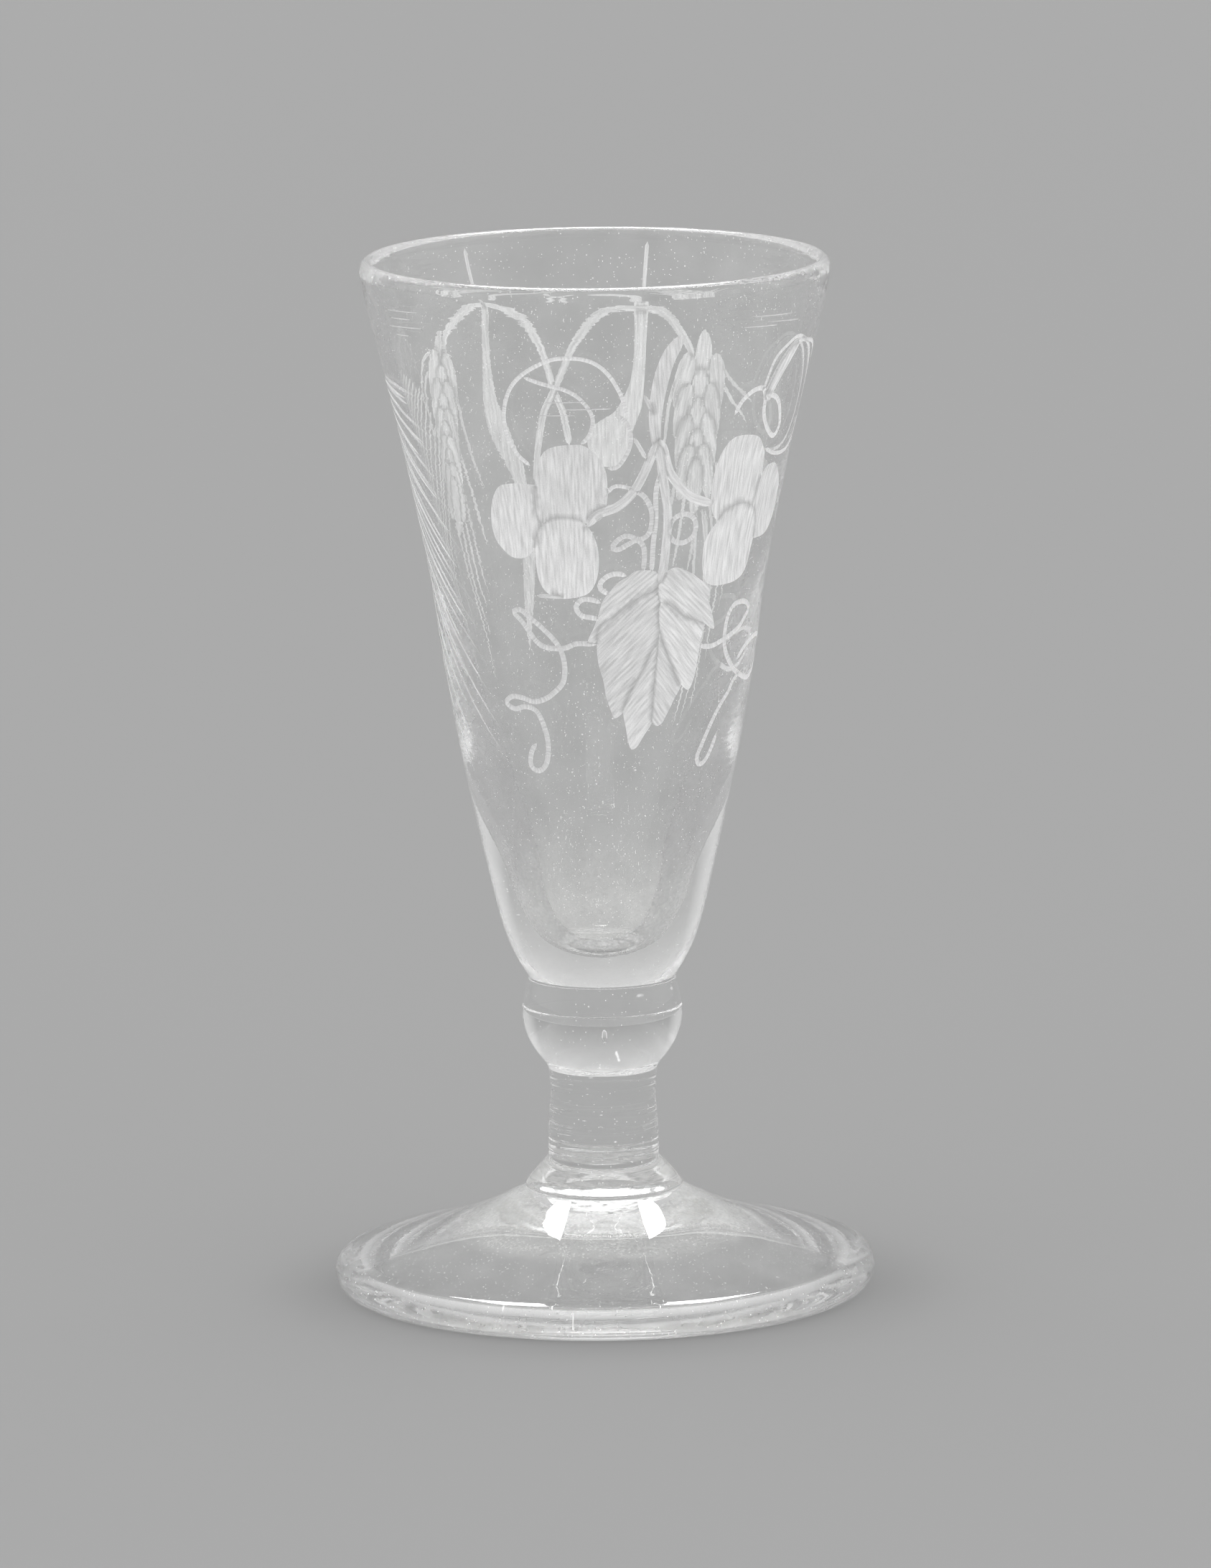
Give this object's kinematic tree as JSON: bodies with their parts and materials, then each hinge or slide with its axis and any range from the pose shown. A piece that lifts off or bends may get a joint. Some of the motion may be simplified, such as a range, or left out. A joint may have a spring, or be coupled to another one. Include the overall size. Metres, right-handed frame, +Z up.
{
  "type": "ale glass",
  "caption": "Short-stemmed antique ale glass in clear glass: tall funnel bowl on a ball knop, short stem, domed collar and conical foot.",
  "frame": {"origin": "centre of the foot on the table, at the bottom of the glass", "axes": "+Z up the glass's axis, from the foot to the rim"},
  "size_m": [0.066, 0.066, 0.127],
  "materials": {
    "clear_glass": "clear, fire-polished, faint grey tint",
    "snapped_glass": "rough broken glass, whitish"
  },
  "bodies": {
    "root": {"foot": "clear_glass", "pontil_scar": "snapped_glass", "foot_collar": "clear_glass", "stem": "clear_glass", "lower_knop": "clear_glass", "upper_knop": "clear_glass", "bowl": "clear_glass"}
  },
  "joints": []
}
